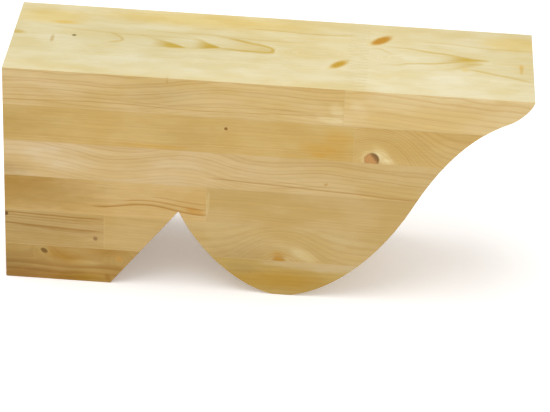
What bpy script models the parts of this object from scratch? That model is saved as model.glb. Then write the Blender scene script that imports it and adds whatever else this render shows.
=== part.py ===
"""Decorative end of a glue-laminated timber beam, sawn with a heel, a notch, a belly and an ogee.

The beam stands on its underside. X runs from the square cut end to the nose, Y across the beam and Z up.
The origin is at the middle of the underside. Lengths are in metres.
"""

import math

import bmesh
import bpy

# The beam and its boards
BEAM_WIDTH = 0.140
BEAM_HEIGHT = 0.240
PIECE_LENGTH = 0.513
LAMELLA_COUNT = 6
GLUE_LINE = 0.0003

# Stations of the sawn profile, back from the nose
NOSE_TO_LIP = 0.022
NOSE_TO_OGEE = 0.108
NOSE_TO_BELLY = 0.235
NOSE_TO_NOTCH = 0.3395
NOSE_TO_HEEL = 0.407

# Heights of the sawn profile: the lip hangs under the top, and the notch cuts through its boards and
# bites into the next one. The rest is measured up from the underside.
LIP_DROP = 0.026
OGEE_HEIGHT = 0.1135
NOTCH_BOARDS = 2
NOTCH_BITE = 0.010
BELLY_RUN_OUT = 0.0008

# Headings of the saw's path at those stations, in degrees up from the horizontal
NOTCH_HEADING = -64.5
BELLY_HEADING = 0.0
OGEE_HEADING = 64.5
LIP_HEADING = 25.0
NOSE_HEADING = 90.0

# Lengths of the curve's handles on each stretch, as shares of its chord: at its start and at its end
NOTCH_TO_BELLY_HANDLES = (0.47, 0.20)
BELLY_TO_OGEE_HANDLES = (0.20, 0.52)
OGEE_TO_LIP_HANDLES = (0.21, 0.39)
LIP_TO_NOSE_HANDLES = (0.30, 0.22)

# How far back from the nose the straight line of each finger joint shows on the beam's sides
NOSE_TO_JOINT_1 = 0.182
NOSE_TO_JOINT_2 = 0.170
NOSE_TO_JOINT_4 = 0.312
NOSE_TO_JOINT_5 = 0.4135
FINGER_LENGTH = 0.020
FINGER_PITCH = 0.0062
FINGER_TIP = 0.0010
FINGER_PLAY = 0.0003

CUTTER_MARGIN = 0.020
CURVE_STEPS = 16

# What follows from the sizes above
LAMELLA_THICKNESS = BEAM_HEIGHT / LAMELLA_COUNT
NOTCH_HEIGHT = NOTCH_BOARDS * LAMELLA_THICKNESS + NOTCH_BITE
NOTCH_X = PIECE_LENGTH - NOSE_TO_NOTCH
HEEL_X = PIECE_LENGTH - NOSE_TO_HEEL

# Where the boards of a lamella meet, from the cut end, by the lamella's number from the top
FINGER_JOINTS = {
    1: PIECE_LENGTH - NOSE_TO_JOINT_1,
    2: PIECE_LENGTH - NOSE_TO_JOINT_2,
    4: PIECE_LENGTH - NOSE_TO_JOINT_4,
    5: PIECE_LENGTH - NOSE_TO_JOINT_5,
}

# Linear colours of the boards, by lamella, for the board at the cut end and the one beyond the joint
BOARD_COLOURS = {
    1: ((0.69, 0.52, 0.27), (0.70, 0.53, 0.28)),
    2: ((0.60, 0.41, 0.16), (0.62, 0.43, 0.18)),
    3: ((0.65, 0.47, 0.22), (0.65, 0.47, 0.22)),
    4: ((0.58, 0.40, 0.16), (0.58, 0.40, 0.17)),
    5: ((0.54, 0.36, 0.14), (0.57, 0.40, 0.17)),
    6: ((0.46, 0.29, 0.10), (0.50, 0.32, 0.10)),
}


def clear_scene():
    """Removes whatever objects the file opened with."""
    for found in list(bpy.data.objects):
        bpy.data.objects.remove(found, do_unlink=True)


def new_collection(name):
    """Makes a collection under the scene's own."""
    made = bpy.data.collections.new(name)
    bpy.context.scene.collection.children.link(made)
    return made


def spruce(name, colour):
    """Planed softwood of one tone."""
    made = bpy.data.materials.new(name)
    made.use_nodes = True
    made.diffuse_color = (*colour, 1.0)
    shader = made.node_tree.nodes["Principled BSDF"]
    shader.inputs["Base Color"].default_value = (*colour, 1.0)
    shader.inputs["Roughness"].default_value = 0.55
    shader.inputs["Metallic"].default_value = 0.0
    return made


def mesh_from_curve(curve_object, name, collection):
    """Turns a filled curve into a closed mesh object in the same place, and removes the curve."""
    bpy.context.view_layer.update()
    evaluated = curve_object.evaluated_get(bpy.context.evaluated_depsgraph_get())
    mesh = bpy.data.meshes.new_from_object(evaluated)
    welded = bmesh.new()
    welded.from_mesh(mesh)
    bmesh.ops.remove_doubles(welded, verts=welded.verts, dist=0.00001)
    bmesh.ops.recalc_face_normals(welded, faces=welded.faces)
    welded.to_mesh(mesh)
    welded.free()
    made = bpy.data.objects.new(name, mesh)
    made.matrix_world = curve_object.matrix_world.copy()
    collection.objects.link(made)
    old = curve_object.data
    bpy.data.objects.remove(curve_object, do_unlink=True)
    bpy.data.curves.remove(old)
    return made


def flat_curve(name, half_thickness):
    """An empty 2D curve that fills its outline and has thickness."""
    data = bpy.data.curves.new(name, "CURVE")
    data.dimensions = "2D"
    data.fill_mode = "BOTH"
    data.extrude = half_thickness
    data.resolution_u = CURVE_STEPS
    made = bpy.data.objects.new(name, data)
    bpy.context.scene.collection.objects.link(made)
    return made


def saw_path():
    """Anchors of the sawn profile from the notch to the nose: place, heading and handle lengths."""
    stations = [
        (NOTCH_X, NOTCH_HEIGHT, NOTCH_HEADING),
        (PIECE_LENGTH - NOSE_TO_BELLY, -BELLY_RUN_OUT, BELLY_HEADING),
        (PIECE_LENGTH - NOSE_TO_OGEE, OGEE_HEIGHT, OGEE_HEADING),
        (PIECE_LENGTH - NOSE_TO_LIP, BEAM_HEIGHT - LIP_DROP, LIP_HEADING),
        (PIECE_LENGTH, BEAM_HEIGHT, NOSE_HEADING),
    ]
    shares = [NOTCH_TO_BELLY_HANDLES, BELLY_TO_OGEE_HANDLES, OGEE_TO_LIP_HANDLES, LIP_TO_NOSE_HANDLES]
    chords = [math.dist(a[:2], b[:2]) for a, b in zip(stations, stations[1:])]
    path = []
    for i, (x, z, heading) in enumerate(stations):
        back = shares[i - 1][1] * chords[i - 1] if i > 0 else 0.0
        ahead = shares[i][0] * chords[i] if i < len(shares) else 0.0
        path.append((x, z, math.radians(heading), back, ahead))
    return path


def waste_outline():
    """The timber that the saw takes away, as Bezier anchors: place, and the handle each side or None."""
    slope = (NOTCH_X - HEEL_X) / NOTCH_HEIGHT
    far_x = PIECE_LENGTH + CUTTER_MARGIN
    high = BEAM_HEIGHT + CUTTER_MARGIN
    anchors = [((HEEL_X - slope * CUTTER_MARGIN, -CUTTER_MARGIN), None, None)]
    for x, z, heading, back, ahead in saw_path():
        ways = (math.cos(heading), math.sin(heading))
        left = (x - back * ways[0], z - back * ways[1]) if back else None
        right = (x + ahead * ways[0], z + ahead * ways[1]) if ahead else None
        anchors.append(((x, z), left, right))
    anchors += [((PIECE_LENGTH, high), None, None), ((far_x, high), None, None)]
    anchors.append(((far_x, -CUTTER_MARGIN), None, None))
    return anchors


def make_waste_cutter(collection):
    """A solid of the waste, wider than the beam, that is cut out of the boards."""
    curve = flat_curve("waste_curve", BEAM_WIDTH / 2 + CUTTER_MARGIN)
    anchors = waste_outline()
    spline = curve.data.splines.new("BEZIER")
    spline.use_cyclic_u = True
    spline.bezier_points.add(len(anchors) - 1)
    for point, (place, left, right) in zip(spline.bezier_points, anchors):
        point.co = (*place, 0.0)
        point.handle_left_type = "FREE" if left else "VECTOR"
        point.handle_right_type = "FREE" if right else "VECTOR"
        point.handle_left = (*(left or place), 0.0)
        point.handle_right = (*(right or place), 0.0)
    curve.location = (-PIECE_LENGTH / 2, 0.0, 0.0)
    curve.rotation_euler = (math.radians(90.0), 0.0, 0.0)
    cutter = mesh_from_curve(curve, "waste_cutter", collection)
    cutter.hide_render = True
    cutter.display_type = "WIRE"
    return cutter


def finger_edge(x, side):
    """Points of a finger joint from one side of the beam to the other.

    side is 1 for the board that ends at the joint and -1 for the one that starts there.
    """
    count = max(1, round(BEAM_WIDTH / FINGER_PITCH))
    pitch = BEAM_WIDTH / count
    half_tip = FINGER_TIP / 2
    half_root = pitch / 2 - half_tip
    shrink = side * FINGER_PLAY / 2
    low = x - shrink
    high = x + FINGER_LENGTH - shrink
    points = [(low, -BEAM_WIDTH / 2)]
    for i in range(count):
        middle = -BEAM_WIDTH / 2 + (i + 0.5) * pitch
        points += [
            (low, middle - half_root + shrink),
            (high, middle - half_tip + shrink),
            (high, middle + half_tip - shrink),
            (low, middle + half_root - shrink),
        ]
    points.append((low, BEAM_WIDTH / 2))
    return points


def straight_edge(x):
    """The two ends of a square edge, from one side of the beam to the other."""
    return [(x, -BEAM_WIDTH / 2), (x, BEAM_WIDTH / 2)]


def make_board(name, start, end, bottom, top, colour, cutter, collection, parent):
    """One board. start and end are a distance from the cut end and whether a finger joint is there."""
    edges = []
    for (x, jointed), side in ((start, -1), (end, 1)):
        edges.append(finger_edge(x, side) if jointed else straight_edge(x))
    outline = edges[1] + edges[0][::-1]
    curve = flat_curve(name + "_curve", (top - bottom) / 2)
    spline = curve.data.splines.new("POLY")
    spline.use_cyclic_u = True
    spline.points.add(len(outline) - 1)
    for point, (x, y) in zip(spline.points, outline):
        point.co = (x, y, 0.0, 1.0)
    curve.location = (-PIECE_LENGTH / 2, 0.0, (top + bottom) / 2)
    board = mesh_from_curve(curve, name, collection)
    board.data.materials.append(spruce("spruce_" + name, colour))
    board.parent = parent
    saw = board.modifiers.new("saw", "BOOLEAN")
    saw.operation = "DIFFERENCE"
    saw.solver = "EXACT"
    saw.object = cutter
    return board


def lamella_spans(number):
    """The boards of one lamella: suffix, start, end and place in BOARD_COLOURS."""
    cut_end = (0.0, False)
    past_nose = (PIECE_LENGTH + CUTTER_MARGIN / 2, False)
    notch = (NOTCH_X, False)
    open_notch = number > LAMELLA_COUNT - NOTCH_BOARDS
    first_end = notch if open_notch else past_nose
    spans = []
    if number in FINGER_JOINTS:
        joint = (FINGER_JOINTS[number], True)
        spans += [("_inner", cut_end, joint, 0), ("_outer", joint, first_end, 1)]
    else:
        spans.append(("", cut_end, first_end, 0))
    if open_notch:
        spans = [("_heel" + suffix, start, end, tone) for suffix, start, end, tone in spans]
        spans.append(("_belly", notch, past_nose, 1))
    return spans


def make_lamella(number, cutter, collection, parent):
    """The boards that lie side by side in one layer, counted from the top."""
    top = BEAM_HEIGHT - (number - 1) * LAMELLA_THICKNESS
    gap = GLUE_LINE if number < LAMELLA_COUNT else 0.0
    bottom = top - LAMELLA_THICKNESS + gap
    tones = BOARD_COLOURS[min(number, len(BOARD_COLOURS))]
    for suffix, start, end, tone in lamella_spans(number):
        name = f"lamella_{number}{suffix}"
        make_board(name, start, end, bottom, top, tones[tone], cutter, collection, parent)


def main():
    clear_scene()
    timber = new_collection("beam_end")
    tools = new_collection("cutters")
    holder = bpy.data.objects.new("beam_end_origin", None)
    timber.objects.link(holder)
    cutter = make_waste_cutter(tools)
    for number in range(1, LAMELLA_COUNT + 1):
        make_lamella(number, cutter, timber, holder)


main()
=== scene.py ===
"""Looks of a glue-laminated beam end: planed softwood boards with growth rings, knots and glue lines.

Run as a script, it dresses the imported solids. Its operators and its panel work in the 3D view as well.
Lengths are in metres, and the beam's near side is the one at low Y.
"""

import math
from dataclasses import dataclass, field
from types import SimpleNamespace

import bmesh
import bpy
from bpy.props import FloatProperty, FloatVectorProperty, PointerProperty
from mathutils import Matrix, Vector


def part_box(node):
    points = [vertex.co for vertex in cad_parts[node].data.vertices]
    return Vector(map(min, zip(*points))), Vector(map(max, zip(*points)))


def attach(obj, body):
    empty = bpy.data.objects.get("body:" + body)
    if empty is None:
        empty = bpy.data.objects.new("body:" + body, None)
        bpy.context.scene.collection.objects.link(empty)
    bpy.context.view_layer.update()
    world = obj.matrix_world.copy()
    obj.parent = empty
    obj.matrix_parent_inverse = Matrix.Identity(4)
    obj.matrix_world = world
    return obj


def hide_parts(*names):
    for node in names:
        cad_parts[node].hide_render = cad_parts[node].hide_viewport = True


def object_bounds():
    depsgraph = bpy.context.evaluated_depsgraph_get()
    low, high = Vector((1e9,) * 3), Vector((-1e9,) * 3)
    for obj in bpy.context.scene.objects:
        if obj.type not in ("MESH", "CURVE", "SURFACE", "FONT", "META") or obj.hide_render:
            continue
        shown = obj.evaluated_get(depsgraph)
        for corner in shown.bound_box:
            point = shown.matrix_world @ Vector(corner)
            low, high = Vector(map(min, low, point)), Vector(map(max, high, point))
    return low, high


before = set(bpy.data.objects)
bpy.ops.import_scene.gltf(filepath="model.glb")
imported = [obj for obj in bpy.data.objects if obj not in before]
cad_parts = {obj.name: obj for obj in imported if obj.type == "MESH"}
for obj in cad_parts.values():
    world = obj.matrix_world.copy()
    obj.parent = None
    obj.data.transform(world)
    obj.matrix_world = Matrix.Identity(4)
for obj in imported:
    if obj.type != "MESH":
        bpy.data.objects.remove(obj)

bl_info = {
    "name": "Glued timber beam end",
    "version": (1, 0, 0),
    "blender": (4, 5, 0),
    "location": "View3D > Sidebar > Beam End",
    "description": "Builds the boards, glue lines and stage of a sawn glulam beam end",
    "category": "Object",
}

CAD_LOW, CAD_HIGH = [Vector(corner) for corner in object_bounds()]
BEAM_HEIGHT = CAD_HIGH.z - CAD_LOW.z
LAMELLA_COUNT = 6
LAMELLA = BEAM_HEIGHT / LAMELLA_COUNT
TOUCH = 0.00001

# Ways that a branch may point
NEAR = Vector((0.0, -1.0, 0.0))
UP = Vector((0.0, 0.0, 1.0))


def near_side(from_cut, below_top):
    """A point on the near side, given as distances from the cut end and below the top."""
    return Vector((CAD_LOW.x + from_cut, CAD_LOW.y, CAD_HIGH.z - below_top))


def top_face(from_cut, from_near):
    """A point on the top, given as distances from the cut end and from the near side."""
    return Vector((CAD_LOW.x + from_cut, CAD_LOW.y + from_near, CAD_HIGH.z))


@dataclass
class Knot:
    """A branch that comes out at a place, along a direction, with a radius there."""

    place: Vector
    along: Vector
    radius: float
    swell: float = 0.0
    tint: tuple = (1.0, 1.0, 1.0)
    rim: float = 0.8
    edge: float = 0.15
    crescent: float = 0.0
    halo: float = 0.0
    reach: float = 3.2
    depth: float = 0.060


@dataclass
class Patch:
    """A soft-edged ellipsoid of lighter or darker wood, with its turn about each axis."""

    place: Vector
    size: tuple
    turn: tuple
    tint: tuple
    soft: float


def side_patch(from_cut, below_top, length, height, tint, turn=0.0, soft=0.7, depth=0.020):
    """A patch on the near side, turned about Y."""
    return Patch(near_side(from_cut, below_top), (length, depth, height), (0.0, turn, 0.0), tint, soft)


def top_patch(from_cut, from_near, length, width, tint, turn=0.0, soft=0.7, depth=0.010):
    """A patch on the top, turned about Z."""
    return Patch(top_face(from_cut, from_near), (length, width, depth), (0.0, 0.0, turn), tint, soft)


@dataclass
class Streak:
    """A dark growth ring along the board, at a height on the side or from the near side on top.

    Its wave is a height, a length and a start.
    """

    start: float
    end: float
    level: float
    slope: float
    thickness: float
    strength: float
    wave: tuple = (0.0, 0.1, 0.0)
    on_top: bool = False


@dataclass
class Tip:
    """A growth ring that ends in a point on the top, with dark wood inside the point."""

    place: Vector
    length: float
    width: float
    slope: float
    thickness: float
    line: float
    fill: float
    fill_length: float
    blunt: float = 1.5


@dataclass
class Board:
    """How one board was cut from its tree, and its tones at the cut end's side and at the nose's side. These
    tones are partly the board's own tone and partly painted shade that makes the lower lamellae darker.
    """

    pith: tuple
    lean: tuple = (0.0, 0.0)
    ring: float = 0.0026
    wander: float = 0.0012
    contrast: float = 0.3
    top_contrast: float = 0.3
    # tone and far_tone: partly the board's own tone, partly painted shade, darker on the lower lamellae's
    # sides
    tone: tuple = (1.0, 1.0, 1.0)
    far_tone: tuple = (1.0, 1.0, 1.0)
    wave: tuple = (0.0, 0.1, 0.0, 0.1)
    knots: list = field(default_factory=list)
    patches: list = field(default_factory=list)
    streaks: list = field(default_factory=list)
    tips: list = field(default_factory=list)


def lamella_top(number):
    """Height of the top of a lamella, counted from the top of the beam."""
    return CAD_HIGH.z - (number - 1) * LAMELLA


def lamella_middle(number):
    """Height of the middle of a lamella."""
    return lamella_top(number) - LAMELLA / 2


PALE = (1.10, 1.18, 1.38)
BLEACHED = (1.16, 1.28, 1.62)
CREAM = (1.03, 1.06, 1.16)
HONEY = (1.0, 0.93, 0.72)
STRAW = (1.0, 0.91, 0.64)
FRINGE = (0.98, 0.82, 0.40)
ORANGE = (0.95, 0.80, 0.50)
BROWN = (0.84, 0.72, 0.55)
RESIN = (1.62, 1.60, 0.60)
HONEYED = (1.66, 2.00, 1.00)
AMBER = (1.68, 1.80, 4.2)
SLANTED = Vector((0.62, 0.66, 0.42))

BACK_KNOT = Knot(
    top_face(0.3624, 0.1055), SLANTED, 0.0062, swell=1.2, tint=RESIN, rim=0.05, edge=0.5, halo=0.2,
)
FRONT_KNOT = Knot(
    top_face(0.3224, 0.0505), SLANTED, 0.0052, swell=1.0, tint=HONEYED, rim=0.05, edge=0.6, halo=0.2,
)
BACK_KNOT_FRINGE = top_patch(0.3624, 0.1055, 0.023, 0.01, FRINGE, turn=-0.82, soft=1.0)

# Each board's tones hold painted shade as well as its own tone: the sides are set darker towards the bottom
# of the beam
BOARDS = {}
BOARDS["lamella_1_inner"] = Board(
    pith=(0.0, CAD_HIGH.z + 0.014), lean=(0.006, 0.02), ring=0.0023, wander=0.001, contrast=0.55,
    top_contrast=0.22, tone=(0.91, 0.93, 0.91), far_tone=(0.98, 1.02, 0.97),
    wave=(0.005, 0.22, 0.215, 0.21),
    knots=[
        Knot(top_face(0.06, 0.0755), UP, 0.0024, swell=0.5, tint=(0.8, 1.3, 3.2), rim=0.2, edge=0.5),
        FRONT_KNOT,
        BACK_KNOT,
    ],
    tips=[
        Tip(top_face(0.171, 0.064), 0.055, 0.012, -0.24, 0.0016, 0.3, 1.0, 0.038),
        Tip(top_face(0.205, 0.069), 0.045, 0.015, -0.22, 0.0016, 0.3, 1.0, 0.03),
        Tip(top_face(0.257, 0.07), 0.06, 0.013, -0.18, 0.003, 0.85, 0.4, 0.06, blunt=2.4),
        Tip(top_face(0.108, 0.073), 0.014, 0.01, -0.2, 0.0026, 0.5, 0.1, 0.02, blunt=2.2),
    ],
    streaks=[
        Streak(0.225, 0.345, 0.111, 0.0, 0.0018, 0.55, wave=(0.0014, 0.11, 0.0), on_top=True),
        Streak(0.12, 0.3, 0.096, 0.045, 0.0016, 0.35, wave=(0.001, 0.09, 0.0), on_top=True),
        Streak(0.03, 0.2, 0.09, 0.06, 0.0018, 0.3, wave=(0.0012, 0.13, 0.0), on_top=True),
        Streak(-0.03, 0.34, 0.0335, -0.004, 0.0007, 0.55, wave=(0.0012, 0.22, 0.04)),
        Streak(-0.03, 0.34, 0.029, -0.002, 0.0006, 0.4, wave=(0.0013, 0.2, 0.02)),
    ],
    patches=[
        side_patch(0.318, 0.034, 0.02, 0.006, PALE, turn=-0.25),
        side_patch(0.325, 0.024, 0.009, 0.014, PALE, turn=0.5),
        side_patch(0.03, 0.012, 0.055, 0.01, CREAM, turn=-0.2),
        side_patch(0.155, 0.02, 0.055, 0.022, (0.91, 0.91, 0.9), soft=1.0),
        side_patch(0.1597, 0.003, 0.0009, 0.005, (0.9, 0.84, 0.74), soft=0.5, depth=0.006),
        top_patch(0.002, 0.0755, 0.014, 0.006, (0.85, 0.74, 0.42)),
        top_patch(0.0395, 0.0665, 0.0028, 0.011, BROWN),
        top_patch(0.048, 0.102, 0.022, 0.005, FRINGE, soft=1.0),
        top_patch(0.19, 0.124, 0.15, 0.022, STRAW),
        top_patch(0.035, 0.112, 0.05, 0.022, STRAW),
        top_patch(0.3224, 0.0505, 0.02, 0.008, FRINGE, turn=-0.82, soft=1.0),
        BACK_KNOT_FRINGE,
        top_patch(0.25, 0.028, 0.26, 0.024, CREAM, depth=0.008),
        top_patch(0.08, 0.06, 0.26, 0.09, (0.93, 0.96, 1.02), soft=0.8),
    ],
)
BOARDS["lamella_1_outer"] = Board(
    pith=(0.002, CAD_HIGH.z + 0.016), lean=(0.004, -0.045), ring=0.0023, wander=0.001, contrast=0.5,
    top_contrast=0.22, tone=(1.0, 1.05, 1.05), far_tone=(1.04, 1.11, 1.17),
    wave=(0.003, 0.26, 0.345, 0.1),
    knots=[FRONT_KNOT, BACK_KNOT],
    tips=[
        Tip(top_face(0.466, 0.0776), 0.105, 0.021, 0.02, 0.0022, 0.65, 1.0, 0.046, blunt=1.15),
        Tip(top_face(0.462, 0.07), 0.04, 0.01, 0.15, 0.002, 0.4, 0.6, 0.03),
    ],
    streaks=[
        Streak(0.44, 0.52, 0.06, 0.3, 0.0022, 0.6, on_top=True),
        Streak(0.4, 0.52, 0.108, 0.06, 0.002, 0.35, wave=(0.0016, 0.1, 0.0), on_top=True),
        Streak(0.345, 0.385, 0.083, 0.0, 0.0024, 0.4, wave=(0.005, 0.035, 0.0), on_top=True),
    ],
    patches=[
        top_patch(0.501, 0.064, 0.0028, 0.014, ORANGE),
        top_patch(0.501, 0.07, 0.006, 0.004, HONEY),
        top_patch(0.446, 0.056, 0.006, 0.006, HONEY),
        top_patch(0.495, 0.116, 0.045, 0.022, STRAW),
        top_patch(0.4, 0.072, 0.03, 0.02, CREAM, depth=0.008),
        BACK_KNOT_FRINGE,
        top_patch(0.42, 0.02, 0.18, 0.036, (1.06, 1.1, 1.23), depth=0.008),
        top_patch(0.43, 0.07, 0.1, 0.06, CREAM, depth=0.008),
        side_patch(0.345, 0.02, 0.008, 0.018, CREAM, turn=0.6),
    ],
)
BOARDS["lamella_2_inner"] = Board(
    pith=(0.07, lamella_top(2) + 0.1), lean=(0.0, 0.015), contrast=0.22, wander=0.0014,
    tone=(0.87, 0.85, 0.7), far_tone=(0.88, 0.86, 0.66),
    knots=[Knot(near_side(0.218, 0.0515), NEAR, 0.0017, swell=1.5, tint=(0.9, 0.9, 0.9))],
    patches=[
        side_patch(0.005, 0.06, 0.085, 0.035, (0.88, 0.86, 0.76), soft=1.0, depth=0.03),
        side_patch(0.18, 0.062, 0.06, 0.03, (0.93, 0.91, 0.85), soft=1.0, depth=0.03),
        side_patch(0.145, 0.0765, 0.045, 0.004, HONEY),
        side_patch(0.312, 0.069, 0.03, 0.01, HONEY, turn=-0.2),
        side_patch(0.327, 0.056, 0.022, 0.018, HONEY),
        side_patch(0.309, 0.075, 0.012, 0.003, HONEY),
        side_patch(0.214, 0.051, 0.01, 0.004, CREAM),
    ],
)
BOARDS["lamella_2_outer"] = Board(
    pith=(0.06, lamella_middle(2) + 0.045), lean=(0.0, 0.02), ring=0.0026, wander=0.0007, contrast=0.45,
    tone=(0.9, 0.88, 0.74), far_tone=(0.89, 0.87, 0.72),
    knots=[
        Knot(
            near_side(0.361, 0.0752), Vector((0.1, -0.95, -0.12)), 0.0078, swell=4.6, tint=AMBER,
            rim=0.2, edge=0.18, crescent=0.9, halo=0.6, reach=5.5,
        ),
    ],
    patches=[
        side_patch(0.3715, 0.0705, 0.0175, 0.0085, BLEACHED, turn=-0.8, depth=0.018),
        side_patch(0.377, 0.0775, 0.0135, 0.005, PALE, turn=-0.1, depth=0.018),
        side_patch(0.36, 0.0735, 0.012, 0.011, PALE, soft=0.5, depth=0.018),
    ],
)
BOARDS["lamella_3"] = Board(
    pith=(0.0, lamella_top(3) + 0.012), lean=(0.0, -0.045), ring=0.0023, wander=0.0009, contrast=0.5,
    tone=(0.94, 0.98, 1.12), far_tone=(0.87, 0.88, 0.8), wave=(0.0065, 0.16, 0.178, 0.16),
    streaks=[
        Streak(0.195, 0.44, 0.1085, 0.052, 0.0011, 0.75),
        Streak(0.215, 0.33, 0.105, 0.06, 0.0008, 0.4),
    ],
    patches=[
        side_patch(0.055, 0.1, 0.055, 0.014, (1.05, 1.12, 1.3), turn=-0.15),
        side_patch(0.002, 0.112, 0.038, 0.015, (0.8, 0.77, 0.69), soft=1.0, depth=0.03),
        side_patch(0.175, 0.097, 0.04, 0.008, CREAM),
        side_patch(0.07, 0.087, 0.06, 0.007, (1.04, 1.09, 1.25), soft=1.0),
        side_patch(0.318, 0.107, 0.003, 0.002, BROWN, turn=0.4, depth=0.01),
    ],
)
BOARDS["lamella_4_inner"] = Board(
    pith=(0.06, lamella_top(4) + 0.09), lean=(0.0, 0.01), contrast=0.18,
    tone=(0.89, 0.86, 0.77), far_tone=(0.89, 0.87, 0.78),
    streaks=[
        Streak(0.08, 0.212, 0.147, 0.018, 0.0014, 1.0, wave=(0.0034, 0.105, 0.117)),
        Streak(0.11, 0.212, 0.1418, 0.02, 0.0011, 0.8, wave=(0.0028, 0.105, 0.119)),
        Streak(0.14, 0.212, 0.137, 0.02, 0.001, 0.5, wave=(0.0022, 0.105, 0.121)),
    ],
    patches=[
        side_patch(0.19, 0.148, 0.016, 0.005, ORANGE, turn=-0.2),
        side_patch(0.03, 0.137, 0.1, 0.034, (0.83, 0.8, 0.7)),
        side_patch(-0.01, 0.126, 0.12, 0.05, (0.78, 0.68, 0.38), soft=1.0, depth=0.03),
    ],
)
BOARDS["lamella_4_outer"] = Board(
    pith=(0.07, lamella_top(4) + 0.1), lean=(0.0, -0.015), contrast=0.18,
    tone=(0.79, 0.78, 0.68), far_tone=(0.83, 0.82, 0.73),
    patches=[side_patch(0.2025, 0.138, 0.002, 0.018, PALE, turn=-0.05, soft=0.5, depth=0.01)],
)
BOARDS["lamella_5_heel_inner"] = Board(
    pith=(-0.02, lamella_top(5) + 0.03), lean=(0.0, -0.05), ring=0.0024, contrast=0.4,
    tone=(0.76, 0.74, 0.63), far_tone=(0.8, 0.78, 0.7),
    streaks=[
        Streak(-0.03, 0.106, 0.1625, 0.028, 0.0011, 1.0),
        Streak(-0.03, 0.101, 0.1655, 0.03, 0.0009, 0.7),
        Streak(-0.03, 0.097, 0.1685, 0.034, 0.0009, 0.5),
        Streak(-0.03, 0.104, 0.1745, 0.048, 0.0012, 1.0),
        Streak(0.005, 0.101, 0.1775, 0.05, 0.001, 0.8),
        Streak(0.03, 0.095, 0.1805, 0.05, 0.0009, 0.5),
    ],
    knots=[
        Knot(
            near_side(0.0908, 0.188), Vector((0.4, -0.8, -0.3)), 0.0023, swell=1.6,
            tint=(1.0, 1.1, 3.0),
            rim=0.3, edge=0.4,
        ),
        Knot(near_side(0.001, 0.165), NEAR, 0.0026, swell=0.8, tint=(0.5, 0.5, 0.5), depth=0.01),
    ],
    patches=[side_patch(0.02, 0.182, 0.095, 0.036, (0.86, 0.84, 0.76), soft=1.0, depth=0.04)],
)
BOARDS["lamella_5_heel_outer"] = Board(
    pith=(-0.01, lamella_top(5) + 0.04), lean=(0.0, -0.03), ring=0.0026, contrast=0.25,
    tone=(0.81, 0.79, 0.68), far_tone=(0.81, 0.79, 0.68),
)
BOARDS["lamella_5_belly"] = Board(
    pith=(0.06, lamella_middle(5) + 0.04), lean=(0.0, 0.01), ring=0.0026, wander=0.001, contrast=0.32,
    tone=(0.83, 0.84, 0.76), far_tone=(0.83, 0.84, 0.76),
    knots=[
        Knot(
            near_side(0.2752, 0.2012), Vector((0.05, -0.98, -0.1)), 0.0074, swell=3.0,
            tint=(1.48, 1.58, 1.5),
            rim=0.1, edge=0.4, halo=0.3, reach=4.5,
        ),
    ],
    patches=[
        side_patch(0.274, 0.192, 0.013, 0.007, ORANGE, soft=1.0, depth=0.018),
        side_patch(0.3, 0.191, 0.021, 0.008, BLEACHED, turn=-0.45, depth=0.018),
        side_patch(0.345, 0.172, 0.05, 0.006, CREAM, turn=-0.15, depth=0.018),
        side_patch(0.235, 0.198, 0.055, 0.034, (0.84, 0.82, 0.76), soft=1.0, depth=0.03),
    ],
)
BOARDS["lamella_6_heel"] = Board(
    pith=(0.05, lamella_middle(6) + 0.04), lean=(0.0, -0.03), ring=0.0028, wander=0.0018, contrast=0.35,
    tone=(0.67, 0.6, 0.39), far_tone=(0.71, 0.64, 0.41),
    knots=[
        Knot(
            near_side(0.039, 0.206), Vector((0.62, -0.62, -0.45)), 0.0027, swell=2.4,
            tint=(0.62, 0.66, 0.8),
            rim=0.2, edge=0.35, halo=0.8,
        ),
        Knot(near_side(0.115, 0.2105), NEAR, 0.0036, swell=2.2,
        tint=(1.65, 1.9, 3.0), rim=0.0, edge=0.6),
    ],
    streaks=[
        Streak(-0.02, 0.13, 0.222, 0.02, 0.0034, 0.65, wave=(0.001, 0.08, 0.0)),
        Streak(-0.02, 0.13, 0.23, 0.01, 0.0028, 0.5, wave=(0.0008, 0.07, 0.0)),
    ],
    patches=[
        side_patch(0.035, 0.202, 0.09, 0.012, (1.02, 1.06, 1.2), turn=-0.04),
        side_patch(0.0, 0.223, 0.06, 0.032, (0.78, 0.76, 0.68), soft=1.0, depth=0.03),
        side_patch(0.058, 0.211, 0.036, 0.012, (0.89, 0.76, 0.42), turn=-0.3, soft=1.0),
        side_patch(0.0455, 0.2045, 0.0022, 0.0055, HONEY, turn=0.5, soft=1.0),
        side_patch(0.08, 0.218, 0.022, 0.006, BLEACHED),
        side_patch(0.075, 0.236, 0.045, 0.01, (0.9, 0.86, 0.34), soft=1.0),
        side_patch(0.102, 0.203, 0.028, 0.01, (0.9, 0.82, 0.6), soft=1.0),
        side_patch(0.092, 0.2285, 0.022, 0.008, (1.14, 1.18, 1.3), soft=1.0),
        side_patch(0.03, 0.236, 0.075, 0.013, BROWN),
        side_patch(0.1035, 0.2335, 0.004, 0.006, BROWN, turn=0.5),
    ],
)
BOARDS["lamella_6_belly"] = Board(
    pith=(0.06, lamella_top(6) + 0.06), lean=(0.0, 0.01), ring=0.0028, contrast=0.25,
    tone=(0.75, 0.73, 0.48), far_tone=(0.75, 0.73, 0.48),
    patches=[
        side_patch(0.27, 0.223, 0.07, 0.014, (0.97, 0.88, 0.54)),
        side_patch(0.24, 0.212, 0.03, 0.014, (0.86, 0.84, 0.84), soft=1.0),
        side_patch(0.325, 0.201, 0.085, 0.011, (1.15, 1.26, 2.1), soft=0.5),
    ],
)


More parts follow.
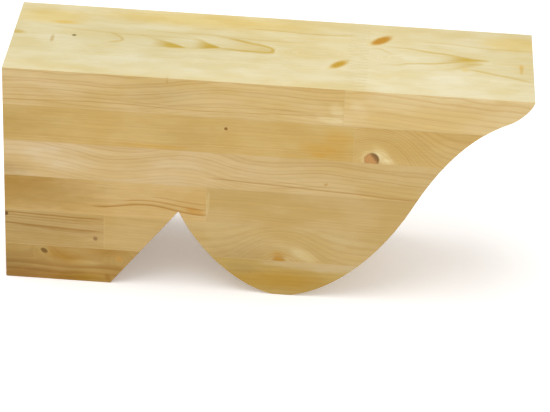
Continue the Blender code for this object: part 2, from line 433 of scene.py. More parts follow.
class BeamSizes(bpy.types.PropertyGroup):
    """Sizes of the finish on the beam."""

    arris: FloatProperty(
        name="Eased edge", description="Width of the eased edge along the arrises",
        default=0.0009, min=0.0001, max=0.004, subtype="DISTANCE", unit="LENGTH",
    )
    film_recess: FloatProperty(
        name="Glue recess", description="How far the glue stays inside the surface",
        default=0.00005, min=0.0, max=0.001, subtype="DISTANCE", unit="LENGTH",
    )
    camera_focal: FloatProperty(
        name="Focal length", description="Camera lens in millimetres", default=158.86, min=20.0, max=400.0,
    )


class BeamColours(bpy.types.PropertyGroup):
    """Linear colours of the timber, the glue and the floor. The top's two timber colours are painted light.
    """

    earlywood: FloatVectorProperty(
        name="Earlywood", description="Pale wood between the growth rings",
        default=(0.60, 0.422, 0.184), subtype="COLOR", size=3, min=0.0, max=1.0,
    )
    latewood: FloatVectorProperty(
        name="Latewood", description="Dark lines of the growth rings",
        default=(0.43, 0.24, 0.062), subtype="COLOR", size=3, min=0.0, max=1.0,
    )
    # Painted light: the top takes paler, cooler copies of the side colours of the same wood, standing in for
    # light from above
    top_lit_earlywood: FloatVectorProperty(
        name="Top-lit earlywood", description="Earlywood on the top, painted paler and cooler for light from above",
        default=(0.615, 0.525, 0.29), subtype="COLOR", size=3, min=0.0, max=1.0,
    )
    top_lit_latewood: FloatVectorProperty(
        name="Top-lit latewood", description="Growth rings on the top, painted paler for light from above",
        default=(0.48, 0.32, 0.045), subtype="COLOR", size=3, min=0.0, max=1.0,
    )
    knot: FloatVectorProperty(
        name="Knot", description="Heart of a knot",
        default=(0.30, 0.145, 0.020), subtype="COLOR", size=3, min=0.0, max=1.0,
    )
    bark: FloatVectorProperty(
        name="Knot rim", description="Dark rim round a knot",
        default=(0.11, 0.052, 0.010), subtype="COLOR", size=3, min=0.0, max=1.0,
    )
    glue: FloatVectorProperty(
        name="Glue", description="Glue between the boards",
        default=(0.48, 0.34, 0.145), subtype="COLOR", size=3, min=0.0, max=1.0,
    )
    floor: FloatVectorProperty(
        name="Floor", description="Paper sweep under the beam",
        default=(0.92, 0.92, 0.92), subtype="COLOR", size=3, min=0.0, max=1.0,
    )


class Graph:
    """Adds nodes to a shader node tree and links them."""

    def __init__(self, tree):
        self.tree = tree

    def node(self, kind, **settings):
        """A new node with its settings."""
        made = self.tree.nodes.new(kind)
        for name, value in settings.items():
            setattr(made, name, value)
        return made

    def feed(self, socket, value):
        """Links an output to the socket, or sets the socket to a plain value."""
        if isinstance(value, bpy.types.NodeSocket):
            self.tree.links.new(value, socket)
        elif value is not None:
            socket.default_value = value

    def feed_all(self, sockets, **values):
        """Feeds sockets by their names, with _ for a space."""
        for name, value in values.items():
            self.feed(sockets[name.replace("_", " ")], value)

    def math(self, operation, first, second=None, third=None, clamp=False):
        """The result of one operation on numbers."""
        made = self.node("ShaderNodeMath", operation=operation, use_clamp=clamp)
        for socket, value in zip(made.inputs, (first, second, third)):
            self.feed(socket, value)
        return made.outputs[0]

    def plus(self, first, second, clamp=False):
        return self.math("ADD", first, second, clamp=clamp)

    def minus(self, first, second, clamp=False):
        return self.math("SUBTRACT", first, second, clamp=clamp)

    def times(self, first, second):
        return self.math("MULTIPLY", first, second)

    def over(self, first, second):
        return self.math("DIVIDE", first, second)

    def times_plus(self, value, scale, offset):
        return self.math("MULTIPLY_ADD", value, scale, offset)

    def size_of(self, value):
        """The value without its sign."""
        return self.math("ABSOLUTE", value)

    def around_zero(self, noise, amount):
        """Noise moved to swing about 0, times an amount."""
        return self.times(self.minus(noise, 0.5), amount)

    def bell(self, value):
        """A bell curve, 1 where the value is 0."""
        return self.math("EXPONENT", self.times(self.times(value, value), -1.0))

    def vector(self, operation, first, second=None, scale=None):
        """The result of one operation on vectors."""
        made = self.node("ShaderNodeVectorMath", operation=operation)
        self.feed(made.inputs[0], first)
        if second is not None:
            self.feed(made.inputs[1], second)
        if scale is not None:
            self.feed(made.inputs["Scale"], scale)
        return made.outputs["Value" if operation in ("DOT_PRODUCT", "LENGTH") else "Vector"]

    def axes(self, vector):
        """The vector's X, Y and Z."""
        made = self.node("ShaderNodeSeparateXYZ")
        self.feed(made.inputs[0], vector)
        return made.outputs

    def ramp(self, value, low, high, to_low=0.0, to_high=1.0):
        """A smooth step from to_low at low to to_high at high."""
        made = self.node("ShaderNodeMapRange", interpolation_type="SMOOTHSTEP")
        self.feed_all(
            made.inputs, Value=value, From_Min=low, From_Max=high, To_Min=to_low, To_Max=to_high,
        )
        return made.outputs["Result"]

    def fade(self, value, low, high):
        """A smooth step from 1 at low to 0 at high."""
        return self.ramp(value, low, high, 1.0, 0.0)

    def noise(self, vector, scale, detail=2.0, roughness=0.5):
        """Noise on a vector, with one scale, or with a scale for each axis."""
        if isinstance(scale, tuple):
            vector = self.vector("MULTIPLY", vector, scale)
            scale = 1.0
        made = self.node("ShaderNodeTexNoise")
        self.feed_all(made.inputs, Vector=vector, Scale=scale, Detail=detail, Roughness=roughness)
        return made.outputs["Fac"]

    def mix(self, factor, first, second, blend="MIX"):
        """The first colour, blended with the second by a factor."""
        made = self.node("ShaderNodeMix", data_type="RGBA", blend_type=blend, clamp_factor=True)
        self.feed(made.inputs[0], factor)
        self.feed(made.inputs[6], first)
        self.feed(made.inputs[7], second)
        return made.outputs[2]

    def toned(self, colour, by):
        """One colour times another."""
        return self.mix(1.0, colour, by, "MULTIPLY")

    def group(self, tree, **values):
        """The outputs of a node group with its inputs fed."""
        made = self.node("ShaderNodeGroup", node_tree=tree)
        self.feed_all(made.inputs, **values)
        return made.outputs


VECTORS = ("Vector", "Pith", "Lean", "Place", "Along", "Turn", "Size", "Tip", "Normal")


def new_group(name, inputs, outputs):
    """A shader node group, its graph, and its input and output sockets, for vectors or for numbers."""
    tree = bpy.data.node_groups.new(name, "ShaderNodeTree")
    for labels, way in ((inputs, "INPUT"), (outputs, "OUTPUT")):
        for label in labels:
            kind = "NodeSocketVector" if label in VECTORS else "NodeSocketFloat"
            tree.interface.new_socket(label, in_out=way, socket_type=kind)
    graph = Graph(tree)
    return tree, graph, graph.node("NodeGroupInput").outputs, graph.node("NodeGroupOutput").inputs


# Growth rings: the noise that bends them, how uneven they are, and when in the year they darken
BROAD_BENDS = (7.0, 22.0, 22.0)
FINE_BENDS = (26.0, 90.0, 90.0)
BROAD_BEND_STRENGTH = 4.0
UNEVEN_PACE = 0.45
UNEVEN_AMOUNT = 1.1
YEAR_DARKENS = (0.30, 0.93)
YEAR_ENDS = (0.94, 1.0)
DARKENING_POWER = 1.6
FAINTEST_YEAR = 0.35


def growth_rings_group():
    """Rings about a pith line that leans and wanders, pale at first and dark at the end of each year."""
    inputs = [
        "Vector", "Pith", "Lean", "Ring Width", "Wander", "Swell", "Wave Height", "Wave Length",
        "Wave Crest", "Wave Reach",
    ]
    tree, graph, given, result = new_group("growth rings", inputs, ["Latewood", "Ring Tone"])
    x = graph.axes(given["Vector"])["X"]
    leaning = graph.vector("SCALE", given["Lean"], scale=x)
    offset = graph.vector("SUBTRACT", graph.vector("SUBTRACT", given["Vector"], given["Pith"]), leaning)
    offset = graph.vector("MULTIPLY", offset, (0.0, 1.0, 1.0))
    from_crest = graph.minus(x, given["Wave Crest"])
    phase = graph.over(from_crest, given["Wave Length"])
    swing = graph.math("COSINE", graph.times(phase, 2 * math.pi))
    fading = graph.bell(graph.over(from_crest, given["Wave Reach"]))
    lift = graph.times(graph.times(swing, fading), given["Wave Height"])
    joined = graph.node("ShaderNodeCombineXYZ")
    graph.feed(joined.inputs["Z"], graph.times(lift, -1.0))
    distance = graph.vector("LENGTH", graph.vector("ADD", offset, joined.outputs[0]))
    broad = graph.around_zero(graph.noise(given["Vector"], BROAD_BENDS, 2.0), BROAD_BEND_STRENGTH)
    fine = graph.minus(graph.noise(given["Vector"], FINE_BENDS, 1.0), 0.5)
    distance = graph.plus(distance, graph.times(graph.plus(broad, fine), given["Wander"]))
    distance = graph.plus(distance, given["Swell"])
    count = graph.over(distance, given["Ring Width"])
    uneven = graph.node("ShaderNodeTexNoise", noise_dimensions="1D")
    graph.feed_all(uneven.inputs, W=graph.times(count, UNEVEN_PACE), Detail=1.0)
    count = graph.plus(count, graph.times(uneven.outputs["Fac"], UNEVEN_AMOUNT))
    season = graph.math("FRACT", count)
    darkening = graph.math("POWER", graph.ramp(season, *YEAR_DARKENS), DARKENING_POWER)
    chance = graph.node("ShaderNodeTexWhiteNoise", noise_dimensions="1D")
    graph.feed(chance.inputs["W"], graph.math("FLOOR", count))
    strength = graph.times_plus(chance.outputs["Value"], 1.0 - FAINTEST_YEAR, FAINTEST_YEAR)
    latewood = graph.times(graph.times(darkening, graph.fade(season, *YEAR_ENDS)), strength)
    graph.feed_all(result, Latewood=latewood, Ring_Tone=chance.outputs["Value"])
    return tree


# Knots: the ruffled outline, shares of the radius, the depth or the edge, and how closely rings are packed
KNOT_RUFFLES = 260.0
KNOT_RUFFLE = 0.20
TAPER_DEPTH = 1.3
INNER_RADIUS = 0.2
FULL_DEPTH = 0.85
OUTER_EDGE = 0.5
RIM_PLACE = 0.92
RIM_NARROWNESS = 4.5
HALO_RADIUS = 3.0
KNOT_RING_PACE = 21.0
CRESCENT_SLANT = 0.75
CRESCENT_EDGES = (0.05, 0.75)


def knot_group():
    """A branch through the board: its heart, its dark rim, the pale wood round it and the rings' detour."""
    inputs = ["Vector", "Place", "Along", "Radius", "Depth", "Edge", "Reach"]
    outputs = ["Heart", "Rim", "Halo", "Swell", "Rings", "Crescent"]
    tree, graph, given, result = new_group("knot", inputs, outputs)
    ruffle = graph.around_zero(graph.noise(given["Vector"], KNOT_RUFFLES, 1.0), KNOT_RUFFLE)
    offset = graph.vector("SUBTRACT", given["Vector"], given["Place"])
    along = graph.vector("DOT_PRODUCT", offset, given["Along"])
    across = graph.vector("SUBTRACT", offset, graph.vector("SCALE", given["Along"], scale=along))
    taper = graph.plus(graph.over(along, graph.times(given["Depth"], TAPER_DEPTH)), 1.0, clamp=True)
    radius = graph.times(given["Radius"], graph.times_plus(taper, 1.0 - INNER_RADIUS, INNER_RADIUS))
    share = graph.plus(graph.over(graph.vector("LENGTH", across), radius), ruffle)
    there = graph.ramp(along, graph.times(given["Depth"], -1.0), graph.times(given["Depth"], -FULL_DEPTH))
    outer = graph.times_plus(given["Edge"], OUTER_EDGE, 1.0)
    heart = graph.fade(share, graph.minus(1.0, given["Edge"]), outer)
    from_rim = graph.size_of(graph.minus(share, RIM_PLACE))
    rim = graph.minus(1.0, graph.times(from_rim, RIM_NARROWNESS), clamp=True)
    halo = graph.fade(share, 1.0, HALO_RADIUS)
    detour = graph.bell(graph.over(share, given["Reach"]))
    rings = graph.math("SINE", graph.times(share, KNOT_RING_PACE))
    split = graph.axes(across)
    sideways = graph.over(graph.times_plus(split["Z"], CRESCENT_SLANT, split["X"]), radius)
    graph.feed_all(
        result, Heart=graph.times(heart, there), Rim=graph.times(rim, there), Halo=graph.times(halo, there),
        Swell=graph.times(graph.times(detour, radius), there), Rings=graph.times_plus(rings, 0.5, 0.5),
        Crescent=graph.ramp(sideways, *CRESCENT_EDGES),
    )
    return tree


PATCH_RUFFLES = (60.0, 200.0, 200.0)
PATCH_RUFFLE = 0.5


def patch_group():
    """A soft-edged ellipsoid."""
    tree, graph, given, result = new_group("patch", ["Vector", "Place", "Turn", "Size", "Soft"], ["Mask"])
    turned = graph.node("ShaderNodeVectorRotate", rotation_type="EULER_XYZ")
    offset = graph.vector("SUBTRACT", given["Vector"], given["Place"])
    graph.feed_all(turned.inputs, Vector=offset, Rotation=given["Turn"])
    share = graph.vector("LENGTH", graph.vector("DIVIDE", turned.outputs[0], given["Size"]))
    ruffle = graph.around_zero(graph.noise(given["Vector"], PATCH_RUFFLES), PATCH_RUFFLE)
    inner = graph.minus(1.0, given["Soft"])
    graph.feed(result["Mask"], graph.fade(graph.plus(share, ruffle), inner, 1.0))
    return tree


# Dark rings: the wobble, the shares of the thickness above and below the line, and the length of each end
STREAK_WOBBLES = (14.0, 10.0, 0.0)
STREAK_WOBBLE = 0.003
STREAK_ABOVE = 2.2
STREAK_BELOW = 0.5
STREAK_END = 0.02


def streak_group():
    """A dark growth ring along the board, which starts, ends and waves."""
    inputs = [
        "Vector", "Start", "End", "Level", "Slope", "Thickness", "Wave", "Wave Length", "Wave Start",
    ]
    tree, graph, given, result = new_group("dark ring", inputs, ["Mask"])
    split = graph.axes(given["Vector"])
    x = split["X"]
    phase = graph.over(graph.minus(x, given["Wave Start"]), given["Wave Length"])
    swing = graph.times(graph.math("SINE", graph.times(phase, 2 * math.pi)), given["Wave"])
    drop = graph.times(graph.minus(x, given["Start"]), given["Slope"])
    wobble = graph.around_zero(graph.noise(given["Vector"], STREAK_WOBBLES), STREAK_WOBBLE)
    middle = graph.plus(graph.plus(graph.minus(given["Level"], drop), swing), wobble)
    away = graph.minus(split["Z"], middle)
    above = graph.fade(away, 0.0, graph.times(given["Thickness"], STREAK_ABOVE))
    below = graph.ramp(away, graph.times(given["Thickness"], -STREAK_BELOW), 0.0)
    begin = graph.ramp(x, given["Start"], graph.plus(given["Start"], STREAK_END))
    finish = graph.fade(x, graph.minus(given["End"], STREAK_END), given["End"])
    graph.feed(result["Mask"], graph.times(graph.times(above, below), graph.times(begin, finish)))
    return tree


# Ring tips: the sway, and shares of the line's thickness, of the tip's length and of the fill's length
TIP_SWAYS = (35.0, 60.0, 0.0)
TIP_SWAY = 0.006
TIP_CORE = 0.2
TIP_LINE_FADES = 0.5
TIP_LINE_ENDS = 1.15
TIP_FILL_MARGIN = 0.3
TIP_FILL_FADES = 0.35


def tip_group():
    """A growth ring that ends in a point: the ring's line, and the dark wood inside the point."""
    inputs = ["Vector", "Tip", "Length", "Width", "Slope", "Thickness", "Fill Length", "Bluntness"]
    tree, graph, given, result = new_group("ring tip", inputs, ["Line", "Fill"])
    split = graph.axes(graph.vector("SUBTRACT", given["Vector"], given["Tip"]))
    back = graph.times(split["X"], -1.0)
    axis = graph.times(split["X"], given["Slope"])
    sway = graph.around_zero(graph.noise(given["Vector"], TIP_SWAYS, 1.0), TIP_SWAY)
    across = graph.plus(graph.minus(split["Y"], axis), sway)
    across = graph.over(graph.size_of(across), given["Width"])
    reach = graph.times(graph.math("POWER", across, given["Bluntness"]), given["Length"])
    inside = graph.minus(back, reach)
    steep = graph.over(graph.times(given["Length"], given["Bluntness"]), given["Width"])
    bend = graph.math("POWER", across, graph.minus(given["Bluntness"], 1.0))
    steep = graph.times(steep, bend)
    distance = graph.over(inside, graph.math("SQRT", graph.times_plus(steep, steep, 1.0)))
    line = graph.fade(graph.over(graph.size_of(distance), given["Thickness"]), TIP_CORE, 1.0)
    line_fades = graph.times(given["Length"], TIP_LINE_FADES)
    line_ends = graph.times(given["Length"], TIP_LINE_ENDS)
    fill = graph.ramp(distance, graph.times(given["Thickness"], -TIP_FILL_MARGIN), given["Thickness"])
    fill_fades = graph.times(given["Fill Length"], TIP_FILL_FADES)
    graph.feed(result["Line"], graph.times(line, graph.fade(back, line_fades, line_ends)))
    graph.feed(result["Fill"], graph.times(fill, graph.fade(back, fill_fades, given["Fill Length"])))
    return tree


# Fibres: how closely each noise is packed along each axis, and where a face turns to end grain or top
LONG_FIBRES = (22.0, 900.0, 900.0)
SHORT_FIBRES = (90.0, 2600.0, 2600.0)
LONG_SHARE = 0.65
CLOUDS = (16.0, 38.0, 38.0)
PORES = (200.0, 1800.0, 1800.0)
END_GRAIN_FACES = (0.15, 0.85)
TOP_FACES = (0.35, 0.90)


def fibres_group():
    """Fine fibres, soft clouds of tone, and masks of the cut faces across the fibres and of the top."""
    outputs = ["Fibre", "Cloud", "End Grain", "Pores", "Top"]
    tree, graph, given, result = new_group("fibres", ["Vector", "Normal"], outputs)
    vector = given["Vector"]
    long = graph.noise(vector, LONG_FIBRES, 3.0, 0.6)
    short = graph.noise(vector, SHORT_FIBRES, 1.0)
    split = graph.axes(given["Normal"])
    fibre = graph.plus(graph.times(long, LONG_SHARE), graph.times(short, 1.0 - LONG_SHARE))
    graph.feed_all(
        result, Fibre=fibre, Cloud=graph.noise(vector, CLOUDS, 3.0, 0.55), Pores=graph.noise(vector, PORES),
        End_Grain=graph.ramp(graph.size_of(split["X"]), *END_GRAIN_FACES),
        Top=graph.ramp(split["Z"], *TOP_FACES),
    )
    return tree


def make_shades():
    """The shader node groups that every board uses."""
    return SimpleNamespace(
        rings=growth_rings_group(), knot=knot_group(), patch=patch_group(), streak=streak_group(),
        tip=tip_group(), fibres=fibres_group(),
    )


def opaque(colour):
    """A colour with full alpha."""
    return (*colour, 1.0)


def tinted(colour, tint):
    """A colour times a tint, no brighter than white, with full alpha."""
    return opaque([min(1.0, part * by) for part, by in zip(colour, tint)])


def new_material(name):
    """A material, its graph, the inputs of its shader and its texture coordinates."""
    made = bpy.data.materials.new(name)
    made.use_nodes = True
    graph = Graph(made.node_tree)
    where = graph.node("ShaderNodeTexCoord").outputs
    return made, graph, made.node_tree.nodes["Principled BSDF"].inputs, where


def add_knots(graph, board, shades, vector):
    """The knot groups of a board, and how far they push the growth rings aside."""
    knots = []
    swell = 0.0
    for knot in board.knots:
        out = graph.group(
            shades.knot, Vector=vector, Place=knot.place, Along=knot.along.normalized(), Radius=knot.radius,
            Depth=knot.depth, Edge=knot.edge, Reach=knot.reach,
        )
        knots.append((knot, out))
        swell = graph.plus(swell, graph.times(out["Swell"], knot.swell))
    return knots, swell


def add_features(graph, board, shades, vector, colour, late):
    """The colour with the board's dark rings, ring tips and patches on it."""
    split = graph.axes(vector)
    seen_from_top = graph.node("ShaderNodeCombineXYZ")
    for socket, axis in zip(seen_from_top.inputs, "XZY"):
        graph.feed(socket, split[axis])
    for streak in board.streaks:
        level = CAD_LOW.y + streak.level if streak.on_top else CAD_HIGH.z - streak.level
        mask = graph.group(
            shades.streak, Vector=seen_from_top.outputs[0] if streak.on_top else vector,
            Start=CAD_LOW.x + streak.start, End=CAD_LOW.x + streak.end, Level=level, Slope=streak.slope,
            Thickness=streak.thickness, Wave=streak.wave[0], Wave_Length=streak.wave[1],
            Wave_Start=CAD_LOW.x + streak.wave[2],
        )["Mask"]
        colour = graph.mix(graph.times(mask, streak.strength), colour, late)
    for tip in board.tips:
        out = graph.group(
            shades.tip, Vector=vector, Tip=tip.place, Length=tip.length, Width=tip.width, Slope=tip.slope,
            Thickness=tip.thickness, Fill_Length=tip.fill_length, Bluntness=tip.blunt,
        )
        line = graph.times(out["Line"], tip.line)
        fill = graph.times(out["Fill"], tip.fill)
        colour = graph.mix(graph.math("MAXIMUM", line, fill), colour, late)
    for patch in board.patches:
        mask = graph.group(
            shades.patch, Vector=vector, Place=patch.place, Turn=patch.turn, Size=patch.size,
            Soft=patch.soft,
        )["Mask"]
        colour = graph.mix(mask, colour, graph.toned(colour, opaque(patch.tint)))
    return colour


# Tones of the wood: the clouds, and the darker end grain
CLOUD_EDGES = (0.36, 0.64)
COOL_CLOUD = (1.03, 1.05, 1.12, 1.0)
WARM_CLOUD = (0.97, 0.94, 0.84, 1.0)
WHITE = (1.0, 1.0, 1.0, 1.0)
FIBRE_CONTRAST = 0.34
YEAR_CONTRAST = 0.04
END_GRAIN_TINT = (0.86, 0.78, 0.68, 1.0)
END_GRAIN_STRENGTH = 0.75


def wood_colour(graph, board, shades, colours, vector, rings, fibres):
    """The colour of a board before its knots: its rings and features, then its clouds, tone and fibres.
    Painted light is on the top, and painted shade is in the sides' tone.
    """
    # Painted light: on the top the same wood takes the paler, cooler top-lit colours that stand in for light
    # from above
    early = graph.mix(fibres["Top"], opaque(colours.earlywood), opaque(colours.top_lit_earlywood))
    late = graph.mix(fibres["Top"], opaque(colours.latewood), opaque(colours.top_lit_latewood))
    strong = graph.times_plus(fibres["End Grain"], 1.0 - board.contrast, board.contrast)
    strong = graph.times_plus(fibres["Top"], board.top_contrast - board.contrast, strong)
    colour = graph.mix(graph.times(rings["Latewood"], strong), early, late)
    colour = add_features(graph, board, shades, vector, colour, late)
    clouds = graph.mix(graph.ramp(fibres["Cloud"], *CLOUD_EDGES), COOL_CLOUD, WARM_CLOUD)
    colour = graph.toned(colour, clouds)
    along = graph.ramp(graph.axes(vector)["X"], CAD_LOW.x, CAD_HIGH.x)
    # The board's tone, partly painted shade that darkens the lower lamellae, goes on the sides only; on the
    # top it gives way to white
    tone = graph.mix(along, opaque(board.tone), opaque(board.far_tone))
    colour = graph.toned(colour, graph.mix(fibres["Top"], tone, WHITE))
    shade = graph.times_plus(graph.minus(fibres["Fibre"], 0.5), FIBRE_CONTRAST, 1.0)
    year = graph.times_plus(rings["Ring Tone"], YEAR_CONTRAST, 1.0 - YEAR_CONTRAST / 2)
    shade = graph.times(shade, year)
    grey = graph.node("ShaderNodeCombineColor")
    for socket in grey.inputs[:3]:
        graph.feed(socket, shade)
    colour = graph.toned(colour, grey.outputs[0])
    cut_across = graph.times(fibres["End Grain"], END_GRAIN_STRENGTH)
    return graph.mix(cut_across, colour, graph.toned(colour, END_GRAIN_TINT))


# Tones of a knot
KNOT_RING_SHADE = 0.72
KNOT_RING_STRENGTH = 0.5
CRESCENT_STRENGTH = 0.8


def colour_knots(graph, knots, colour, colours):
    """The colour with the knots on it, and a mask of their hearts."""
    hearts = 0.0
    bark = opaque(colours.bark)
    for knot, out in knots:
        pale = graph.toned(colour, opaque(PALE))
        colour = graph.mix(graph.times(out["Halo"], knot.halo), colour, pale)
        lined = tinted(colours.knot, [KNOT_RING_SHADE * part for part in knot.tint])
        heart = tinted(colours.knot, knot.tint)
        heart = graph.mix(graph.times(out["Rings"], KNOT_RING_STRENGTH), heart, lined)
        heart = graph.mix(graph.times(out["Crescent"], knot.crescent * CRESCENT_STRENGTH), heart, bark)
        heart = graph.mix(graph.times(out["Rim"], knot.rim), heart, bark)
        colour = graph.mix(out["Heart"], colour, heart)
        hearts = graph.math("MAXIMUM", hearts, out["Heart"])
    return colour, hearts


# Gloss and relief of the wood
WOOD_ROUGHNESS = 0.64
LATEWOOD_SMOOTHER = 0.10
END_GRAIN_ROUGHER = 0.18
KNOT_SMOOTHER = 0.12
GRAIN_HEIGHT = 0.5
PORE_DEPTH = 0.8
KNOT_HEIGHT = 0.5


def board_material(name, board, shades, colours):
    """Softwood for one board."""
    made, graph, shader, where = new_material("softwood_" + name)
    vector = where["Object"]
    knots, swell = add_knots(graph, board, shades, vector)
    rings = graph.group(
        shades.rings, Vector=vector, Pith=(0.0, *board.pith), Lean=(0.0, *board.lean), Ring_Width=board.ring,
        Wander=board.wander, Swell=swell, Wave_Height=board.wave[0], Wave_Length=board.wave[1],
        Wave_Crest=CAD_LOW.x + board.wave[2], Wave_Reach=board.wave[3],
    )
    fibres = graph.group(shades.fibres, Vector=vector, Normal=where["Normal"])
    colour = wood_colour(graph, board, shades, colours, vector, rings, fibres)
    colour, hearts = colour_knots(graph, knots, colour, colours)
    rough = graph.times_plus(rings["Latewood"], -LATEWOOD_SMOOTHER, WOOD_ROUGHNESS)
    rough = graph.plus(rough, graph.times(fibres["End Grain"], END_GRAIN_ROUGHER))
    rough = graph.minus(rough, graph.times(hearts, KNOT_SMOOTHER))
    height = graph.times(graph.plus(rings["Latewood"], fibres["Fibre"]), GRAIN_HEIGHT)
    open_pores = graph.times(graph.times(fibres["Pores"], fibres["End Grain"]), PORE_DEPTH)
    height = graph.plus(graph.minus(height, open_pores), graph.times(hearts, KNOT_HEIGHT))
    bump = graph.node("ShaderNodeBump")
    graph.feed_all(bump.inputs, Strength=0.35, Distance=0.0003, Height=height)
    graph.feed_all(
        shader, Base_Color=colour, Roughness=rough, Specular_IOR_Level=0.2, Normal=bump.outputs[0],
    )
    return made


GLUE_CLOUDS = (30.0, 30.0, 300.0)
GLUE_ROUGHNESS = 0.4
GLUE_UNEVENNESS = 0.2


def glue_material(colours):
    """Set glue with the wood's tone showing through in places, painted paler on the top for the light from
    above.
    """
    made, graph, shader, where = new_material("set_glue")
    cloud = graph.noise(where["Object"], GLUE_CLOUDS)
    colour = graph.mix(cloud, opaque(colours.glue), opaque(colours.earlywood))
    # Painted light: on the top the glue takes the paler top-lit earlywood colour
    on_top = graph.ramp(graph.axes(where["Normal"])["Z"], *TOP_FACES)
    colour = graph.mix(on_top, colour, opaque(colours.top_lit_earlywood))
    rough = graph.times_plus(cloud, GLUE_UNEVENNESS, GLUE_ROUGHNESS)
    graph.feed_all(shader, Base_Color=colour, Roughness=rough)
    return made


FLOOR_MOTTLE = 3.0
FLOOR_MOTTLE_TINT = (0.985, 0.985, 0.985)


def floor_material(colours):
    """Matt paper sweep with the faintest mottle, lit a little from behind."""
    made, graph, shader, where = new_material("paper_sweep")
    mottle = graph.noise(where["Object"], FLOOR_MOTTLE)
    darker = tinted(colours.floor, FLOOR_MOTTLE_TINT)
    graph.feed_all(
        shader, Base_Color=graph.mix(mottle, opaque(colours.floor), darker), Emission_Color=WHITE,
        Emission_Strength=0.22, Roughness=0.9, Specular_IOR_Level=0.1,
    )
    return made


def finished_mesh(shape, name):
    """A mesh with the bmesh in it. The bmesh is freed."""
    mesh = bpy.data.meshes.new(name)
    shape.to_mesh(mesh)
    shape.free()
    return mesh


def new_object(name, data):
    """An object in the scene."""
    made = bpy.data.objects.new(name, data)
    bpy.context.scene.collection.objects.link(made)
    return made


def add_piece(name, mesh, material, body):
    """Links a finished mesh as a piece of the object."""
    mesh.materials.clear()
    mesh.materials.append(material)
    made = new_object(name, mesh)
    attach(made, body)
    return made


# The turns between faces that are merged away, eased and shaded sharp
MERGED_TURN = math.radians(0.4)
ARRIS_TURN = math.radians(25.0)
SHARP_TURN = math.radians(35.0)

# Normals of square and of upright faces, and how far glued faces lie inside the beam's box
SQUARE = 0.999
UPRIGHT = 0.0005
INSIDE = 0.002


def merged_copy(node):
    """A bmesh of a CAD node with its triangles merged into whole faces."""
    made = bmesh.new()
    made.from_mesh(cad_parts[node].data)
    bmesh.ops.remove_doubles(made, verts=made.verts, dist=TOUCH)
    bmesh.ops.dissolve_limit(made, angle_limit=MERGED_TURN, verts=made.verts, edges=made.edges)
    made.normal_update()
    return made


def is_joint_face(face):
    """Whether a face is glued to the next board: at a glue line, or in a finger joint."""
    middle = face.calc_center_median()
    normal = face.normal
    if abs(normal.z) > SQUARE:
        return CAD_LOW.z + INSIDE < middle.z < CAD_HIGH.z - INSIDE
    if abs(normal.y) > SQUARE:
        return False
    upright = abs(normal.z) < UPRIGHT
    return upright and CAD_LOW.x + INSIDE < middle.x < CAD_HIGH.x - INSIDE


def is_arris(edge):
    """Whether an edge is an outer corner of the beam."""
    if len(edge.link_faces) != 2 or any(is_joint_face(face) for face in edge.link_faces):
        return False
    return edge.calc_face_angle(0.0) > ARRIS_TURN and edge.is_convex


def is_sharp(edge):
    """Whether shading breaks at an edge: at a glued face and at a corner that isn't rounded."""
    if any(is_joint_face(face) for face in edge.link_faces):
        return True
    return edge.calc_face_angle(0.0) > SHARP_TURN


def make_board(node, board, shades, colours, sizes):
    """A board with eased arrises in place of its CAD node."""
    shape = merged_copy(node)
    corners = [edge for edge in shape.edges if is_arris(edge)]
    bmesh.ops.bevel(
        shape, geom=corners, offset=sizes.arris, offset_type="OFFSET", segments=3, profile=0.5,
        affect="EDGES", material=-1, clamp_overlap=True,
    )
    for face in shape.faces:
        face.smooth = True
    for edge in shape.edges:
        edge.smooth = not is_sharp(edge)
    mesh = finished_mesh(shape, node + "_board")
    material = board_material(node, board, shades, colours)
    made = add_piece(node + "_board", mesh, material, "root")
    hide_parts(node)
    return made


def make_glue(name, node, is_glued, across, material, sizes):
    """Glue that fills a gap: a board's glued faces, set in from the surface and thickened across it."""
    shape = merged_copy(node)
    rest = [face for face in shape.faces if not is_glued(face)]
    bmesh.ops.delete(shape, geom=rest, context="FACES")
    if not shape.faces:
        shape.free()
        return
    rim = bmesh.ops.inset_region(
        shape, faces=shape.faces[:], thickness=sizes.film_recess, use_even_offset=True, use_boundary=True,
    )
    bmesh.ops.delete(shape, geom=rim["faces"], context="FACES")
    bmesh.ops.solidify(shape, geom=shape.faces[:], thickness=-across)
    bmesh.ops.recalc_face_normals(shape, faces=shape.faces)
    add_piece(name, finished_mesh(shape, name), material, "root")


def is_underside(face):
    """Whether a face is glued to the board below."""
    return face.normal.z < -SQUARE and is_joint_face(face)


def is_finger(face):
    """Whether a face is one of the fingers between two lengths of a lamella."""
    return abs(face.normal.z) < 0.5 and is_joint_face(face)


FINGER_FILL = 0.95


def lamella_gap():
    """Thickness of the glue between two lamellae, from the frame."""
    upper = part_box("lamella_3")
    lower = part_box("lamella_4_outer")
    return upper[0][2] - lower[1][2]


def finger_gap(inner, outer):
    """How far the outer length's fingers stand off the inner one's, along the beam."""
    shape = merged_copy(inner)
    roots = [vertex.co.x for face in shape.faces if is_finger(face) for vertex in face.verts]
    shape.free()
    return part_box(outer)[0][0] - min(roots)


class BEAMEND_OT_boards(bpy.types.Operator):
    """Make every board of the beam with its own wood"""

    bl_idname = "beamend.boards"
    bl_label = "Boards"

    def execute(self, context):
        colours = context.scene.beam_colours
        sizes = context.scene.beam_sizes
        shades = make_shades()
        for node, board in BOARDS.items():
            make_board(node, board, shades, colours, sizes)
        return {"FINISHED"}


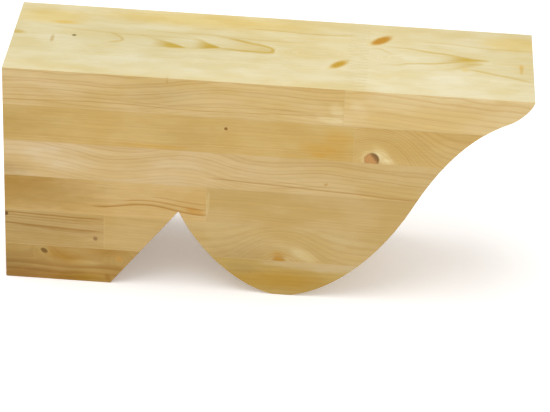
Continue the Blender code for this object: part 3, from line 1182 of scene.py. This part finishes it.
class BEAMEND_OT_glue(bpy.types.Operator):
    """Fill the gaps between the boards with glue"""

    bl_idname = "beamend.glue"
    bl_label = "Glue lines"

    def execute(self, context):
        material = glue_material(context.scene.beam_colours)
        sizes = context.scene.beam_sizes
        down = lamella_gap()
        for node in BOARDS:
            make_glue(node + "_glue", node, is_underside, down, material, sizes)
            outer = node.replace("_inner", "_outer")
            if outer != node:
                along = finger_gap(node, outer) * FINGER_FILL
                make_glue(node + "_finger_glue", node, is_finger, along, material, sizes)
        return {"FINISHED"}


class BEAMEND_OT_stage(bpy.types.Operator):
    """Add the floor, the lights and the camera"""

    bl_idname = "beamend.stage"
    bl_label = "Stage"

    def execute(self, context):
        add_floor(context.scene.beam_colours)
        add_lights(context.scene)
        add_camera(context.scene)
        return {"FINISHED"}


FLOOR_SIZE = 12.0
CAMERA_PLACE = (0.0939, -2.1078, 1.3614)
CAMERA_HEADING = 2.286
CAMERA_TILT = -31.645
CAMERA_ROLL = 2.693


def add_floor(colours):
    """A wide paper floor under the beam."""
    shape = bmesh.new()
    bmesh.ops.create_grid(shape, x_segments=1, y_segments=1, size=FLOOR_SIZE / 2)
    bmesh.ops.translate(shape, verts=shape.verts, vec=(0.0, 0.0, CAD_LOW.z))
    mesh = finished_mesh(shape, "paper_floor")
    mesh.materials.append(floor_material(colours))
    made = new_object("paper_floor", mesh)


def add_area_light(name, place, size, power, colour):
    """A soft box that faces the middle of the beam."""
    data = bpy.data.lights.new(name, "AREA")
    data.shape = "DISK"
    data.size = size
    data.energy = power
    data.color = colour
    made = new_object(name, data)
    made.location = place
    aim = Vector((0.0, 0.0, BEAM_HEIGHT / 2)) - Vector(place)
    made.rotation_euler = aim.to_track_quat("-Z", "Y").to_euler()


def add_lights(scene):
    """A bright pale surround, a large key overhead and a weak warm fill from the front."""
    world = bpy.data.worlds.new("pale_surround")
    world.use_nodes = True
    background = world.node_tree.nodes["Background"]
    background.inputs["Color"].default_value = WHITE
    background.inputs["Strength"].default_value = 0.74
    scene.world = world
    scene.view_settings.view_transform = "Standard"
    add_area_light("key_softbox", (-0.5, -0.3, 2.6), 2.6, 44.0, (1.0, 1.0, 1.0))
    add_area_light("front_softbox", (0.4, -2.4, 0.9), 1.6, 4.0, (1.0, 0.72, 0.42))


def add_camera(scene):
    """A long lens from the front, above and a little to the right."""
    data = bpy.data.cameras.new("photo_camera")
    data.lens = scene.beam_sizes.camera_focal
    data.sensor_width = 36.0
    data.sensor_fit = "HORIZONTAL"
    data.clip_end = 50.0
    made = new_object("photo_camera", data)
    turn = Matrix.Rotation(math.radians(CAMERA_HEADING), 4, "Z")
    tilt = Matrix.Rotation(math.radians(90.0 + CAMERA_TILT), 4, "X")
    roll = Matrix.Rotation(math.radians(CAMERA_ROLL), 4, "Z")
    made.matrix_world = Matrix.Translation(CAMERA_PLACE) @ turn @ tilt @ roll
    scene.camera = made


COLOUR_NAMES = (
    "earlywood", "latewood", "top_lit_earlywood", "top_lit_latewood", "knot", "bark", "glue", "floor",
)


class BEAMEND_PT_panel(bpy.types.Panel):
    """Sizes, colours and steps of the beam end"""

    bl_idname = "BEAMEND_PT_panel"
    bl_label = "Beam end"
    bl_space_type = "VIEW_3D"
    bl_region_type = "UI"
    bl_category = "Beam End"

    def draw(self, context):
        layout = self.layout
        for name in ("arris", "film_recess", "camera_focal"):
            layout.prop(context.scene.beam_sizes, name)
        for name in COLOUR_NAMES:
            layout.prop(context.scene.beam_colours, name)
        for operator in OPERATORS:
            layout.operator(operator.bl_idname)


OPERATORS = (BEAMEND_OT_boards, BEAMEND_OT_glue, BEAMEND_OT_stage)
CLASSES = (BeamSizes, BeamColours, *OPERATORS, BEAMEND_PT_panel)


def register():
    for cls in CLASSES:
        bpy.utils.register_class(cls)
    bpy.types.Scene.beam_sizes = PointerProperty(type=BeamSizes)
    bpy.types.Scene.beam_colours = PointerProperty(type=BeamColours)


def unregister():
    del bpy.types.Scene.beam_colours
    del bpy.types.Scene.beam_sizes
    for cls in reversed(CLASSES):
        bpy.utils.unregister_class(cls)


def main():
    """Builds the whole scene."""
    register()
    bpy.ops.beamend.boards()
    bpy.ops.beamend.glue()
    bpy.ops.beamend.stage()


if __name__ == "__main__":
    main()
